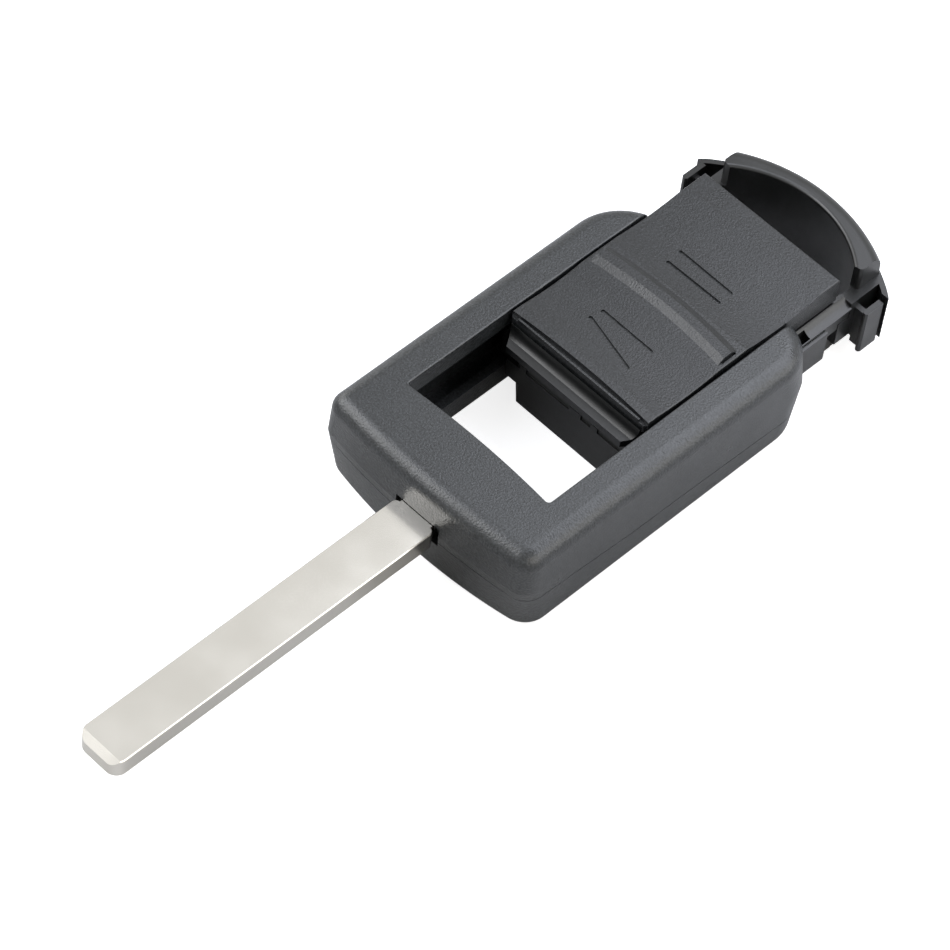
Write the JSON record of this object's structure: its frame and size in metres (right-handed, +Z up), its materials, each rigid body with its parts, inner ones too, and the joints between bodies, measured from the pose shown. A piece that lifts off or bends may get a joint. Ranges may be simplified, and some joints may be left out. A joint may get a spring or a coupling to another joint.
{
  "type": "key fob shell",
  "caption": "Car key head with a plain uncut blade, an open window frame and a slide-out remote housing with a rocking button cover and a key-ring bow.",
  "frame": {"origin": "middle of the bounding box's bottom face, on the plane that the key lies on", "axes": "+Y from the blade's tip to the key-ring bow, +Z up out of the button side, +X to the right seen from the blade's tip"},
  "size_m": [0.0346, 0.1244, 0.0152],
  "materials": {
    "head_upper": "fine spark-eroded grain",
    "head_lower": "fine spark-eroded grain",
    "key_blade": "nickel plated, satin",
    "button_cover": "fine spark-eroded grain",
    "module_case": "smooth satin",
    "module_base": "smooth satin"
  },
  "bodies": {
    "head": {"head_upper": "head_upper", "head_lower": "head_lower", "key_blade": "key_blade"},
    "housing": {"module_case": "module_case", "module_base": "module_base"},
    "cover": {"button_cover": "button_cover"}
  },
  "joints": [
    {"name": "housing_slide", "type": "slide", "parent": "head", "child": "housing", "axis": [0, 1, 0], "range_m": [-0.0162, 0.02]},
    {"name": "cover_rock", "type": "hinge", "parent": "housing", "child": "cover", "pos_m": [0, 0.03132, 0.01175], "axis": [1, 0, 0], "range_deg": [-1, 1], "stiffness_Nm_per_rad": 0.5}
  ]
}
